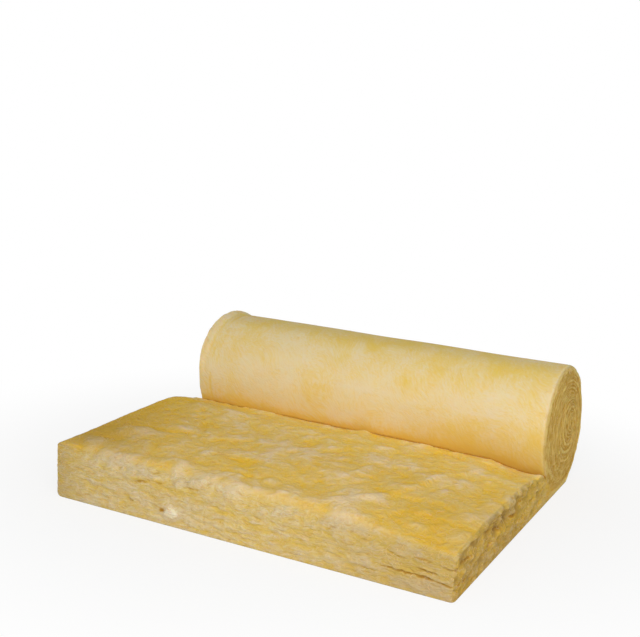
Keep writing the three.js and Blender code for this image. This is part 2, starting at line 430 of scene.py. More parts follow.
class BlanketMesh:
    """Lays grids over the section and welds them into one closed skin. Each corner of a face keeps
    its place in the unrolled blanket: across, along and through it."""

    # rounding of the rims: on the left, and on the right of the open part and of the roll
    LEFT_ROUND = 6 * MM
    RIGHT_ROUND = 15 * MM
    ROLL_RIGHT_ROUND = 12 * MM
    # the rounding fades in over a height above the floor, and over rows where the roll's skin
    # leaves the floor and where it ends; on the front only a share of it is used
    ROUND_HEIGHT = 20 * MM
    ROUND_ROWS = (8, 6)
    FRONT_SHARE = 0.5
    # rounding of the crushed bottom edge on the left
    FOOT_ROUND = 15 * MM
    # columns from each end inwards, closer where the rim is rounded
    RIM_COLUMNS = (0, 1.5 * MM, 4 * MM, 8 * MM, 13 * MM, 20 * MM, 30 * MM)
    COLUMNS = 240
    WELD = 0.01 * MM
    # a normal's sideways part where skin turns into a cut end, and its upward part where a cut
    # face turns into the open top
    END_TURN = (0.3, 0.85)
    TOP_TURN = (0.72, 0.97)
    # the wool lies flat on the floor and is free from this height
    FOOT_FADE = 14 * MM
    # the drift of the tufts would differ from run to run without a seed
    DRIFT_SEED = 3

    def __init__(self, section):
        self.section = section
        self.mesh = bmesh.new()
        points = self.mesh.verts.layers
        self.place = points.float_vector.new("place")
        self.wound, self.cut, self.split, self.tone, self.side, self.nip, self.seam, self.wear_and_shade = (
            points.float.new(name) for name in STORED
        )
        self.wool = self.mesh.loops.layers.float_vector.new("wool")
        self.columns = self.column_places()

    def column_places(self):
        """Where the columns of the grids run, from the left end to the right."""
        half = self.section.sizes.width / 2
        inner = half - self.RIM_COLUMNS[-1]
        count = self.COLUMNS - 2 * (len(self.RIM_COLUMNS) - 1)
        middle = [lerp(-inner, inner, i / count) for i in range(count + 1)]
        left = [-half + rim for rim in self.RIM_COLUMNS[:-1]]
        right = [half - rim for rim in reversed(self.RIM_COLUMNS[:-1])]
        return left + middle + right

    def grid(self, columns, rows, place):
        """A grid of faces. place gives, for each crossing, its position, its place in the wool,
        whether it is wound, and how near it is to a seam between laps."""
        made = bmesh.ops.create_grid(self.mesh, x_segments=columns, y_segments=rows, size=1)
        for vert in made["verts"]:
            column = round((vert.co.x + 1) / 2 * columns)
            row = round((vert.co.y + 1) / 2 * rows)
            vert.co, vert[self.place], vert[self.wound], vert[self.seam] = place(column, row)
        faces = {face for vert in made["verts"] for face in vert.link_faces}
        for face in faces:
            face.smooth = True
            for loop in face.loops:
                loop[self.wool] = loop.vert[self.place]

    def softened(self, x, point, inward, depth, right_round):
        """Rounds the rim where the skin turns into an end. inward points into the wool from the
        nearest skin, and depth is how far below that skin the point lies."""
        half = self.section.sizes.width / 2
        rounding = right_round if x > 0 else self.LEFT_ROUND
        corner = rounded(half - abs(x), depth, rounding)
        if not corner:
            return x, point
        from_end, new_depth = corner
        return math.copysign(half - from_end, x), point + inward * (new_depth - depth)

    def open_place(self, x, row, layer):
        """What grid needs of a crossing on the open part."""
        section = self.section
        share = layer / section.OPEN_LAYERS
        if row == section.open_rows:
            step = section.OPEN_LAYERS // section.WOUND_LAYERS
            layer = step * round(layer / step)
        point = section.open_point(x, row, layer)
        top = section.open_point(x, row, section.OPEN_LAYERS)
        wool = (x, point.x - section.front, share * top.y)
        fading = smooth(section.open_rows - row, 0, section.RUN_IN_ROWS / 2)
        below_top = top.y - point.y
        from_front = point.x - section.front
        if below_top < from_front:
            inward = Vector((0, -fading)) * smooth(point.y, 0, self.ROUND_HEIGHT)
            depth = below_top
        else:
            inward = Vector((self.FRONT_SHARE, 0))
            depth = from_front
        x, point = self.softened(x, point, inward, depth, self.RIGHT_ROUND)
        return (x, *point), wool, 0.0, 0.0

    def wound_place(self, x, row, layer):
        """What grid needs of a crossing on the wound part."""
        section = self.section
        share = layer / section.WOUND_LAYERS
        point = section.wound_point(x, row, share)
        thickness = (section.wound_point(x, row, 1) - section.wound_point(x, row, 0)).length
        wool = (x, section.run_lengths[row], share * thickness)
        if section.lift_row < row <= section.ROWS_PER_TURN:
            point = section.with_lip(x, point, share)
            skin = section.with_lip(x, section.wound_point(x, row, 0), 0)
            inward = (section.winding_centre - skin).normalized()
            depth = (point - skin).length
            starting, ending = self.ROUND_ROWS
            fading = smooth(row, section.lift_row, section.lift_row + starting)
            fading *= smooth(section.ROWS_PER_TURN - row, 0, ending)
            x, point = self.softened(x, point, inward * fading, depth, self.ROLL_RIGHT_ROUND)
        outermost = row <= section.ROWS_PER_TURN
        seam = max(2 * share - 1, 0) if outermost else abs(2 * share - 1)
        return (x, *point), wool, smooth(row, 0, section.lift_row), seam

    def build(self):
        """Lays the front, the top, the skin and both ends, welds them and closes the underside."""
        section = self.section
        places = self.columns
        columns = len(places) - 1
        layers, wound_layers = section.OPEN_LAYERS, section.WOUND_LAYERS
        turn, lift = section.ROWS_PER_TURN, section.lift_row
        open_place, wound_place = self.open_place, self.wound_place
        self.grid(columns, layers, lambda at, layer: open_place(places[at], 0, layer))
        self.grid(columns, section.open_rows, lambda at, row: open_place(places[at], row, layers))
        self.grid(columns, turn - lift, lambda at, row: wound_place(places[at], turn - row, 0))
        for x in (places[0], places[-1]):
            self.grid(layers, section.open_rows, lambda layer, row: open_place(x, row, layer))
            self.grid(
                wound_layers, section.wound_rows, lambda layer, row: wound_place(x, row, layer)
            )
        bmesh.ops.remove_doubles(self.mesh, verts=self.mesh.verts, dist=self.WELD)
        rim = [edge for edge in self.mesh.edges if edge.is_boundary]
        bmesh.ops.holes_fill(self.mesh, edges=rim, sides=0)
        bmesh.ops.recalc_face_normals(self.mesh, faces=self.mesh.faces)
        self.mesh.normal_update()
        self.fluff_up()

    def fluff_up(self):
        """Raises and sinks the wool along its own normals, except on the flat underside, and notes
        what its material needs to know at each point."""
        noise.seed_set(self.DRIFT_SEED)
        relief = Relief(self.section)
        moved = []
        for vert in self.mesh.verts:
            wound = vert[self.wound]
            if wound > 0:
                cut = smooth(abs(vert.normal.x), *self.END_TURN)
            else:
                cut = 1 - smooth(vert.normal.z, *self.TOP_TURN)
            form = relief.at(vert[self.place], vert[self.seam], wound, vert)
            height = form.x * MM * smooth(vert.co.z, 0, self.FOOT_FADE)
            vert[self.cut] = cut
            vert[self.tone] = form.y
            vert[self.split] = form.z
            vert[self.side] = vert.normal.x**2
            vert[self.nip] = self.section.from_meeting(vert.co)
            vert[self.wear_and_shade] = relief.wear_and_shade(vert, wound)
            moved.append(vert.co + vert.normal * height)
        self.settle(moved)

    def settle(self, moved):
        """Moves each point to its new place, keeps it above the floor and rounds the left foot."""
        rounding = self.FOOT_ROUND
        middle = Vector((rounding - self.section.sizes.width / 2, 0, rounding))
        for vert, place in zip(self.mesh.verts, moved):
            vert.co = (place.x, place.y, max(place.z, 0))
            corner = vert.co - middle
            corner.y = 0
            if max(corner.x, corner.z) < 0 and corner.length > rounding:
                vert.co += corner * (rounding / corner.length - 1)

    def finished(self, name):
        data = bpy.data.meshes.new(name)
        self.mesh.to_mesh(data)
        self.mesh.free()
        return placed(bpy.context.collection, name, data)


# ---- the wool's own forms ---------------------------------------------------

# Swells, hollows and patches of the open top: x, y, half length, half width in mm, turn in
# degrees, rise in mm, and tone, above 0 for pale and dusty and below 0 for bare and yellow.
SWELLS = (
    (-512, -369, 55, 34, 20, 12, 0.2),
    (-585, -250, 200, 30, 90, 2, -2.4),
    (-350, -171, 55, 32, 30, -4, -0.6),
    (-325, -468, 60, 30, 0, -5, -0.4),
    (-480, -485, 70, 30, 0, 6, 0.6),
    (-240, -505, 60, 30, 10, 6, 0.2),
    (-110, -392, 45, 30, -25, -7, -1.3),
    (-150, -330, 60, 32, 20, 5, 0.5),
    (-90, -548, 90, 28, 8, 7, 0.4),
    (90, -522, 110, 28, 10, 8, 0.9),
    (260, -472, 70, 28, 25, 7, 0.8),
    (-60, -190, 80, 40, 0, 4, 0.5),
    (40, -130, 90, 34, -10, -4, -0.5),
    (100, -400, 70, 36, 20, -6, -0.4),
    (60, -300, 50, 32, 0, 5, 0.4),
    (230, -120, 90, 32, 10, 4, 0.9),
    (240, -250, 60, 34, 60, -4, -0.6),
    (340, -235, 110, 28, 72, 5, -0.4),
    (440, -330, 90, 34, 10, -6, -1.0),
    (452, -432, 74, 58, -20, -5, -1.6),
    (560, -339, 32, 28, 60, 6, 0.6),
    # smaller or flatter ones
    (-435, -345, 30, 24, 0, 4, 0.8),
    (520, -180, 60, 40, 60, -3, -0.6),
    (-520, -220, 80, 260, 0, 0, -0.7),
    (-530, -430, 70, 60, 0, 0, -0.6),
    (-375, -30, 60, 50, 0, 0, 0.5),
    (-525, -80, 50, 60, 0, 0, 0.6),
    (-75, 0, 70, 36, 0, 0, 0.5),
    (225, -400, 50, 110, 0, 0, 0.4),
    (360, -140, 90, 80, 0, 0, -0.7),
    (230, -160, 50, 60, 0, 0, 0.4),
    (-130, -150, 90, 60, 0, 0, 0.4),
    (60, -200, 70, 60, 0, 0, 0.4),
    (-250, -300, 90, 60, 0, 0, -0.1),
    (500, -520, 70, 20, 0, -4, -0.9),
    (-560, -120, 150, 26, 84, -2, -0.8),
    (-400, -548, 70, 22, 0, 4, 1.4),
    (-290, -550, 34, 14, 0, 3, 0.5),
    (-141, -556, 46, 16, 0, 5, -0.2),
    (-18, -552, 44, 18, 0, 5, 0.2),
    (-540, -330, 40, 14, 10, -3, -1.2),
    (-420, -300, 60, 12, 12, -3, -0.9),
    (-60, -455, 60, 12, 10, -4, -1.1),
    (150, -185, 70, 12, 16, -3, -0.9),
    (395, -470, 26, 10, -30, -3, -1.0),
)
# Long soft ridges on the open top: half width, rise, tone and the points they run through.
RIDGES = (
    (13, 6, 1.1, ((200, -505), (308, -378), (350, -270), (383, -148), (465, 40))),
    (12, 4, 0.9, ((158, -337), (201, -148), (361, -92))),
    (10, 3, 0.9, ((-40, -178), (107, -43), (206, 27))),
    (14, 4, 0.4, ((400, -455), (430, -478), (475, -470), (500, -430), (490, -390))),
    (12, 3, 0.2, ((330, -330), (420, -300), (520, -318))),
    (10, 2.5, 0.4, ((-470, -250), (-330, -262), (-180, -225))),
)
# Splits in the sawn faces: place along, height, half length, gape, depth in mm, and slope.
FRONT_SPLITS = (
    (-310, 104, 34, 3.8, 7, 0.10),
    (-250, 112, 26, 3.8, 7, 0.12),
    (-138, 117, 36, 2.4, 7, 0.05),
    (-236, 40, 13, 5.0, 8, 0.3),
    (-254, 47, 16, 2.4, 6, -0.1),
    (-342, 46, 18, 3.0, 7, -0.2),
    (-466, 78, 46, 1.8, 3, -0.06),
    (-592, 62, 18, 5.0, 4, -0.3),
    (-590, 46, 16, 4.0, 4, 0.1),
    (60, 86, 16, 2.4, 5, -0.2),
    (176, 57, 30, 2.0, 3, 0.05),
    (305, 122, 36, 2.6, 4, 0.25),
    (330, 104, 24, 2.2, 4, -0.2),
    (510, 87, 40, 2.4, 8, -0.05),
    (582, 80, 26, 2.4, 7, -0.05),
    (440, 84, 30, 2.2, 7, -0.25),
    (528, 62, 34, 2.4, 8, -0.1),
    (470, 112, 54, 2.6, 8, -0.22),
    (540, 104, 50, 2.4, 8, -0.12),
    (524, 44, 26, 2.6, 12, 0.02),
    (576, 40, 40, 2.0, 8, -0.12),
    (490, 47, 40, 1.8, 7, 0.0),
    (440, 48, 56, 2.2, 7, -0.05),
    (380, 30, 46, 2.2, 6, 0.02),
)
SIDE_SPLITS = (
    (-541, 38, 17, 5.0, 14, 0.1),
    (-503, 33, 14, 4.5, 12, 0.1),
    (-575, 80, 30, 4.0, 10, 0.0),
    (-500, 84, 44, 3.0, 8, 0.0),
    (-272, 84, 30, 4.0, 12, -0.10),
    (-340, 98, 60, 3.0, 8, 0.04),
    (-150, 82, 34, 4.0, 12, -0.10),
    (-60, 94, 50, 3.0, 7, 0.0),
    (35, 64, 34, 3.4, 8, -0.1),
    (-400, 54, 44, 3.0, 8, 0.05),
    (-330, 60, 12, 4.0, 10, 0.3),
    (100, 60, 12, 4.0, 10, -0.4),
    (208, 72, 14, 4.0, 8, -0.8),
    (258, 40, 12, 4.0, 8, -0.8),
)
# Clumps and bare patches of the sawn faces: place along, height, half length, half height in mm,
# rise in mm and tone.
FRONT_CLUMPS = (
    (-200, 43, 22, 15, 10, 5.0),
    (-238, 96, 34, 9, -2, -1.1),
    (-312, 105, 40, 6, -1, -1.6),
    (-252, 112, 26, 6, -1, -1.6),
    (-470, 150, 40, 16, 2, 0.7),
    (-369, 140, 44, 18, 2, 1.3),
    (-211, 146, 30, 16, 3, 0.3),
    (-141, 142, 44, 22, 4, -0.5),
    (-20, 138, 44, 24, 4, -0.1),
    (95, 136, 60, 18, 3, 0.4),
    (70, 108, 40, 12, 2, 0.5),
    (180, 96, 50, 12, 2, 0.6),
    (374, 59, 12, 8, 3, 1.4),
    (330, 88, 40, 10, 2, 0.4),
    (430, 96, 40, 8, -2, -0.9),
    (560, 100, 40, 8, -1, -1.0),
    (530, 16, 70, 14, 1, 1.3),
    (60, 66, 34, 8, -1, -0.9),
    (120, 40, 50, 8, -1, -0.8),
    (-40, 78, 50, 6, -1, -0.8),
)
SIDE_CLUMPS = (
    (-255, 68, 40, 12, 9, -2.8),
    (-130, 66, 46, 12, 9, -2.8),
    (-60, 48, 40, 8, 2, -1.4),
    (-545, 58, 26, 9, 2, -1.4),
    (-440, 96, 90, 12, 2, -0.2),
    (-180, 100, 70, 12, 2, 0.9),
    (60, 84, 60, 12, 2, 0.6),
    (-480, 56, 60, 10, 3, 0.6),
    (-380, 36, 60, 12, 2, 0.8),
    (150, 52, 50, 14, 2, 0.6),
)
# Clouds of yellow and of pale dust in the roll's skin: x, height, half length, half height in mm,
# tone.
SKIN_CLOUDS = (
    (-480, 291, 40, 24, -0.28),
    (-457, 355, 60, 30, -0.28),
    (-110, 243, 100, 22, -0.24),
    (-125, 332, 70, 30, -0.2),
    (23, 381, 130, 16, -0.32),
    (160, 330, 110, 30, -0.2),
    (562, 352, 44, 28, -0.4),
    (420, 392, 240, 20, -0.48),
    (60, 398, 220, 14, -0.32),
    (-300, 398, 160, 14, -0.24),
    (240, 362, 120, 22, -0.2),
    (300, 270, 110, 40, 0.12),
    (60, 250, 200, 50, 0.24),
    (-300, 320, 70, 60, 0.16),
    (-535, 250, 24, 70, 0.16),
    (503, 333, 60, 26, 0.16),
)
# Folds in the skin, long and straight along the roll: x from, x to, height at both, tone.
SKIN_FOLDS = (
    (-250, 575, 268, 252, 0.2),
    (-20, 330, 262, 244, -0.15),
)


def along_path(x, y, points):
    """Distance from a place to a path of points, and the share of the path passed there."""
    best, passed = None, 0
    for index, (start, end) in enumerate(zip(points, points[1:])):
        start, end = Vector(start), Vector(end)
        run = end - start
        share = min(max((Vector((x, y)) - start).dot(run) / run.length_squared, 0), 1)
        gap = (Vector((x, y)) - start - run * share).length
        if best is None or gap < best:
            best, passed = gap, (index + share) / (len(points) - 1)
    return best, passed


class Relief:
    """How far the wool stands above or below its plain form in mm, how pale it looks, and how much
    of it is a split. The three go together as one vector. Lengths in it are in mm, and what a place
    is divided by before it goes into a wave is about the size of the lumps that this makes."""

    # lumps along the rims of the open part: share and size
    RIM_LUMPS = ((1, 44), (0.8, 20), (0.5, 10))
    # the torn side: height of the top layer's lower edge, and of the floor of the gap under it
    TORN_EDGE = 113
    GAP_FLOOR = 80
    # the outermost lap on the roll's ends: depth of its pale rim and of the groove inside that
    RIM_DEPTH = 6
    GROOVE_DEPTH = 24
    # creases in the skin beside the roll's left rim: distance from the rim, and strength
    RIM_CREASES = ((27, 0.6), (46, 1.0), (66, 0.4))
    CREASE_WIDTH = 3.5

    def __init__(self, section):
        self.section = section

    def at(self, wool, seam, wound, vert):
        """The relief at a point, eased from the open part to the wound one under the roll."""
        if wound == 0:
            return self.open_part(wool, vert)
        form = self.wound_part(wool, seam, vert)
        if wound < 1:
            form = self.open_part(wool, vert).lerp(form, wound)
        return form

    def wear_and_shade(self, vert, wound):
        """How much browner the wool is, partly from wear and partly as painted shade. The open part
        is darker at its left end, on the right of its front and along its torn side, most in the
        gap there, all as painted shade, and darker at the near right corner of its top. The roll is
        a little darker low on the right, as painted shade near the meeting line, and along its very
        top."""
        place, normal = vert.co / MM, vert.normal
        if wound > 0:
            nip = self.section.from_meeting(vert.co) / MM
            low = 0.28 * bell(nip, 120) * smooth(place.x, 0, 600)
            return (low + 0.1 * smooth(normal.z, 0.92, 0.99)) * (1 - normal.x**2)
        # the left end, on top and on the front, darkened as painted shade
        reach = lerp(-250, -300, smooth(place.y, -480, -250))
        left = lerp(0.5, 0.22, smooth(place.y, -420, -120)) * (1 - smooth(place.x, -600, reach))
        left *= smooth(normal.z, 0.2, 0.95) * lerp(0.4, 1, smooth(place.y, -560, -480))
        left += 0.23 * (1 - smooth(place.x, -600, -480)) * smooth(-normal.y, 0.2, 0.8)
        # painted shade on the right of the front, then on the torn side with its gap, then the
        # darker corner between them
        right = 0.4 * smooth(place.x, 0, 600) * smooth(-normal.y, 0.2, 0.8)
        recess = -self.torn(place.y, place.z).y * smooth(normal.x, 0.4, 0.8)
        near = (0.22 + 0.16 * smooth(-place.y, 300, 560)) * smooth(normal.x, 0.4, 0.8)
        corner = 0.16 * smooth(place.x, 250, 540) * smooth(-place.y, 150, 420)
        return max(left, right, near + 0.75 * recess, corner * smooth(normal.z, 0.3, 0.9))

    def wound_part(self, wool, seam, vert):
        """The roll: pressed skin all round, and laps on its two ends."""
        end = vert.normal.x**2
        skin = self.rolled_skin(wool, vert.co)
        if end < 0.02:
            return skin
        return skin.lerp(self.roll_end(wool, seam, vert.co), end)

    def open_part(self, wool, vert):
        """The open part: fleece on top, sawn at the front and on the left, torn on the right."""
        top = smooth(vert.normal.z, 0.1, 0.9)
        facing = vert.normal.x**2 / max(vert.normal.x**2 + vert.normal.y**2, 1e-6)
        place = vert.co / MM
        form = Vector()
        if top > 0.001:
            form += top * self.fleece(place.x, place.y)
        if top < 0.999:
            # the front is yellower to the right and in a band, and paler low on the left
            face = self.sawn(wool.x / MM, place.z, 0, FRONT_SPLITS, FRONT_CLUMPS)
            face.y -= 0.12 * smooth(place.x, -150, 300)
            face.y += 0.35 * bell(place.x + 250, 260) * (1 - smooth(place.z, 90, 130))
            face.y -= 0.35 * smooth(place.x, -330, -200) * bell(place.z - 104, 14)
            if place.x > 0:
                side = self.sawn(place.y, place.z, 20, SIDE_SPLITS, SIDE_CLUMPS)
                side += self.torn(place.y, place.z)
                side.y += lerp(-0.16, 0.12, smooth(place.y, -500, 50))
            else:
                side = self.sawn(place.y, place.z, 40, (), ())
                side.x *= 1.5
            form += (1 - top) * face.lerp(side, facing)
        # lumpy rims between the top and the cut faces
        rim = 4 * top * (1 - top)
        lumps = sum(share * noise.noise(place / size) for share, size in self.RIM_LUMPS)
        form.x += rim * lerp(6, 2, facing) * lumps
        form.y += rim * (0.3 + 0.6 * lumps) * (1 - 0.8 * facing)
        # relief dies out towards the left end, except on its own face, which stands a little proud
        on_side = facing * smooth(-top, -0.2, 0) * smooth(place.y, -568, -500)
        form.x *= lerp(0.2, 1, max(smooth(place.x, -600, -520), on_side))
        form.x += 2.4 * facing * (1 - smooth(place.x, -600, -590))
        # beside the meeting line the top swells and turns pale, the paleness being painted bounce
        # light, and it ends on the line
        to_roll = self.section.from_meeting(vert.co) / MM
        form.x += top * 5 * bell(to_roll - 30, 22)
        form.x *= smooth(to_roll, 0, 34)
        form.y += 0.6 * top * bell(to_roll, 30)
        return form

    def torn(self, y, z):
        """The right side was torn rather than sawn: its top layer hangs over the ones below, and
        the gap under it is darkened with painted shade.
        """
        edge = self.TORN_EDGE + 8 * wave(y / 90, 2.2, 7.1)
        edge += 5 * wave(y / 26, 5.2, 7.1)
        floor = self.GAP_FLOOR + 14 * wave(y / 90, 8.2, 7.1)
        gaping = 0.5 + wave(y / 60, 3.2, 9.1)
        recess = gaping * smooth(edge - z, -2, 6) * smooth(z, floor - 8, floor + 12)
        lumps = wave(y / 30, z / 20, 4.4) + 0.6 * wave(y / 13, z / 9, 1.4)
        rise = 4 * smooth(z, edge - 3, edge + 6) - 8 * recess + 4.6 * lumps
        # painted shade: the recess is darker
        return Vector((rise, 0.8 * lumps - 0.7 * recess, 0))

    def fleece(self, x, y):
        """The open top: billowing tufts with creases between them, and curls on the tufts."""
        drift = noise.noise_vector(Vector((x / 110, y / 110, 1.7))) * 30
        drift += noise.noise_vector(Vector((x / 40, y / 40, 4.7))) * 9
        u, v = x + drift.x, y + drift.y
        broad = wave(u / 210, v / 150, 3.1)
        tufts = billows(u / 80, v / 76, 7.7)
        small = billows(u / 34, v / 32, 2.4)
        curls = noise.fractal(Vector((u / 16, v / 15, 2.3)), 0.8, 2.0, 2)
        rise = 4 * broad + 3.6 * tufts + 1.8 * small + 0.7 * curls
        tone = 0.7 * wave(u / 120, v / 110, 15) + 0.55 * tufts + 0.4 * small - 0.13
        for at_x, at_y, length, width, turn, height, pale in SWELLS:
            away_x, away_y = x + drift.x * 0.5 - at_x, y + drift.y * 0.5 - at_y
            if abs(away_x) + abs(away_y) > 3 * (length + width):
                continue
            cos_turn, sin_turn = math.cos(math.radians(turn)), math.sin(math.radians(turn))
            run = cos_turn * away_x + sin_turn * away_y
            off = cos_turn * away_y - sin_turn * away_x
            weight = math.exp(-((run / length) ** 2) - (off / width) ** 2)
            rise += weight * height
            tone += weight * pale
        for width, height, pale, points in RIDGES:
            gap, passed = along_path(x + drift.x * 0.25, y + drift.y * 0.25, points)
            weight = bell(gap, width) * smooth(4 * passed * (1 - passed), 0, 0.3)
            rise += weight * height
            tone += weight * pale * (0.6 + 0.8 * tufts)
        return Vector((rise, tone, 0))

    def sawn(self, run, up, seed, splits, clumps):
        """A sawn face: soft beds that run along it, small tufts, and the forms named above."""
        wander = 12 * wave(run / 160, up / 70, seed + 0.4)
        wander += 4 * wave(run / 45, up / 24, seed + 6.1)
        level = up + wander
        beds = billows(run / 110, level / 32, seed + 2.2)
        sheets = billows(run / 44, level / 14, seed + 5.3)
        tufts = wave(run / 26, level / 9, seed + 8.8)
        curls = wave(run / 13, level / 6, seed + 3.8)
        rise = 2.0 * beds + 1.9 * sheets + 2.6 * tufts + 0.9 * curls
        tone = 0.35 * beds + 0.3 * sheets + 0.3 * tufts
        tone += 0.7 * wave(run / 64, level / 24, seed + 12)
        # thin sheets part from each other here and there, with ragged edges, and the gaps are
        # darkened with painted shade
        ragged = 2.4 * wave(run / 15, seed, 3.3)
        ragged += 2 * wave(run / 6, seed, 5.3)
        sheet = abs(wave(run / 210, (level + ragged) / 15, seed + 17))
        parted = bell(sheet, 0.05) * smooth(wave(run / 90, level / 20, seed), 0, 0.3)
        rise -= 1.6 * parted
        tone -= 0.5 * parted
        split = 0.3 * parted
        # the named splits are sunk, darkened in and beside them with painted shade, and have a
        # raised lip above
        for at_run, at_up, length, gap, depth, slope in splits:
            away = (run - at_run) / length
            if abs(away) >= 1:
                continue
            off = up - at_up - slope * (run - at_run) - ragged
            weight = (1 - away * away) * bell(off, gap)
            rise += 1.5 * (1 - away * away) * bell(off - 2.2 * gap, 1.4 * gap)
            rise -= 0.6 * depth * weight
            split_shade = (1 - away * away) * bell(off, 2.4 * gap)
            split += lerp(weight, split_shade, 0.45) * smooth(depth, 2.5, 10)
            tone -= 1.2 * weight
        for at_run, at_up, length, high, height, pale in clumps:
            weight = blob((run + wander - at_run) / length, (level - at_up) / high)
            rise += weight * height
            tone += weight * pale
        return Vector((rise, tone, split))

    def rolled_skin(self, wool, place):
        """The underside, pressed smooth: slow dents, clouds of dust, two folds, and creases beside
        the left rim, which are darkened with painted shade. It is yellower near the line where the
        open part meets it, as painted bounce light."""
        slow = wave(wool.x * 4, wool.y * 5, 11)
        dents = wave(wool.x * 13, wool.y * 15, 14)
        nip = self.section.from_meeting(place) / MM
        height = (1.6 * slow + 0.5 * dents) * smooth(nip, 0, 40)
        x, up = place.x / MM, place.z / MM
        blur = 26 * wave(x / 60, up / 60, 5.5)
        blur += 9 * wave(x / 16, up / 16, 9.5)
        # painted bounce light: yellower near the meeting line, most on the right
        tone = -0.6 * bell(nip, 130) * smooth(x, -100, 600) - 0.8 * bell(nip, 30)
        for at_x, at_up, length, high, pale in SKIN_CLOUDS:
            weight = blob((x + blur - at_x) / length, (up + blur - at_up) / high)
            tone += weight * pale
        for start, end, height_start, height_end, pale in SKIN_FOLDS:
            share = (x - start) / (end - start)
            ends = smooth(share, 0, 0.15) * smooth(1 - share, 0, 0.15)
            tone += pale * ends * bell(up + 0.2 * blur - lerp(height_start, height_end, share), 5)
        tone -= 0.25 * smooth(up, 350, 405) * (1 - smooth(x, -300, 200))
        from_left = x + self.section.sizes.width / MM / 2
        for at, strength in self.RIM_CREASES:
            shown = strength * smooth(wave(at, 0.3, up / 70), -0.3, 0.2)
            gap = from_left - at - 4 * wave(at, 6.1, up / 60)
            crease = shown * bell(gap, self.CREASE_WIDTH)
            # the creases sink and are darkened with painted shade
            height -= 1.3 * crease
            tone -= 0.5 * crease
        return Vector((height, tone, 0))

    def roll_end(self, wool, seam, place):
        """Laps pressed tight: rough fins follow the winding, two to a lap, and only a faint crease
        parts one lap from the next, darkened with painted shade. The rim of the outermost lap is a
        soft pale roll, its paleness partly a painted highlight, with a groove inside it that fades
        towards the top and is darkened with painted shade."""
        run, depth = wool.y, wool.z / MM
        crease = seam**4 * (0.7 + wave(run * 12, 1.1, wool.x))
        proud = wave(run * 1.7, 4.4, wool.x)
        sheets = billows(run * 14, wool.z * 60, wool.x * 3)
        tufts = wave(run * 50, wool.z * 85, wool.x * 5)
        shifted = seam + 0.35 * wave(run * 5, 7.7, wool.x)
        fins = math.cos(math.tau * shifted) * (0.6 + wave(run * 9, 2.1, wool.x))
        # the fins are stronger near the core, from 3.6 m to 5.6 m along the blanket
        core = smooth(run, 3.6, 5.6)
        first_lap = self.section.run_lengths[Section.ROWS_PER_TURN]
        outermost = 1 - smooth(run, first_lap - 0.2, first_lap)
        rim = outermost * bell(depth - self.RIM_DEPTH, 11)
        faded = 0.65 * smooth(place.z / MM, 240, 360)
        groove = outermost * bell(depth - self.GROOVE_DEPTH, 5) * (1 - faded)
        rise = 2 * proud + 1.8 * sheets + 3 * tufts - 1.2 * crease + 1.4 * fins
        rise += core * fins - 2.5 * groove
        # painted shade darkens the creases and the groove, and a painted highlight pales the rim
        tone = 0.4 * sheets + 1.0 * tufts - 0.3 * crease + 0.6 * fins + 0.8 * core * fins
        tone += 1.1 * rim - 1.6 * groove
        return Vector((rise, tone, 0))


# ---- materials --------------------------------------------------------------


def new_material(name):
    """A new material, with its node tree and its shader."""
    material = bpy.data.materials.new(name)
    material.use_nodes = True
    return material, material.node_tree, material.node_tree.nodes["Principled BSDF"]


def add_node(tree, kind, sockets=None, **settings):
    """Adds a node, sets its properties, and fills its sockets by name or by place. A socket takes a
    value, a colour, in hex or not, another node's socket, or another node for its first output."""
    node = tree.nodes.new(kind)
    for name, value in settings.items():
        setattr(node, name, value)
    shown = [socket for socket in node.inputs if socket.enabled]
    for key, value in (sockets or {}).items():
        socket = shown[key] if isinstance(key, int) else node.inputs[key]
        if isinstance(value, bpy.types.Node):
            value = next(output for output in value.outputs if output.enabled)
        if isinstance(value, Color):
            value = (*value, 1)
        if isinstance(value, bpy.types.NodeSocket):
            tree.links.new(value, socket)
        else:
            socket.default_value = linear(value) if isinstance(value, str) else value
    return node


# Patterns of the wool: blob size in mm across, along and through the blanket, turn in degrees,
# detail, and how much of the slow drift and of the tight curl bends them, as lengths in mm. Single
# glass fibres are far too fine to show, so the finest ones, hair and lint, are drawn as coarse as
# small bundles of them.
PATTERNS = {
    "strands": ((36, 36, 20), 14, 4, 60, 6),
    "specks": ((13, 13, 8), 8, 3, 30, 8),
    "beds": ((46, 46, 18), 0, 3, 0, 20),
    "felt": ((22, 22, 5), 0, 3, 0, 10),
    "ticks": ((26, 26, 4.5), 0, 2, 0, 12),
    "wisps": ((36, 36, 15), 25, 2, 30, 16),
    "haze": ((110, 100, 90), 20, 3, 60, 0),
    "hair": ((36, 6, 20), 58, 3, 120, 6),
    "lint": ((12, 5, 8), 30, 2, 120, 8),
    "turns": ((50, 60, 6), 0, 4, 0, 8),
    "burrs": ((12, 12, 5), 0, 3, 0, 6),
}
# How far each pattern is moved from the one before, so that no two are alike.
PATTERN_SHIFT = 0.7

# The kinds of step that the wool's material is made of: node, sockets in order, and settings.
STEP_KINDS = {
    "product": ("ShaderNodeMath", (0, 1), {"operation": "MULTIPLY"}),
    "sum": ("ShaderNodeMath", (0, 1, 2), {"operation": "MULTIPLY_ADD"}),
    "difference": ("ShaderNodeMath", (0, 1), {"operation": "SUBTRACT"}),
    "distance": ("ShaderNodeMath", (0,), {"operation": "ABSOLUTE"}),
    "even ramp": ("ShaderNodeMapRange", ("Value", "From Min", "From Max"), {}),
    "ramp": (
        "ShaderNodeMapRange",
        ("Value", "From Min", "From Max", "To Max"),
        {"interpolation_type": "SMOOTHSTEP"},
    ),
    "mix": ("ShaderNodeMix", (0, 1, 2), {"data_type": "FLOAT"}),
    "coat": ("ShaderNodeMix", (0, 1, 2), {"data_type": "RGBA"}),
    "light": ("ShaderNodeMix", (0, 1, 2), {"data_type": "RGBA", "blend_type": "ADD"}),
}


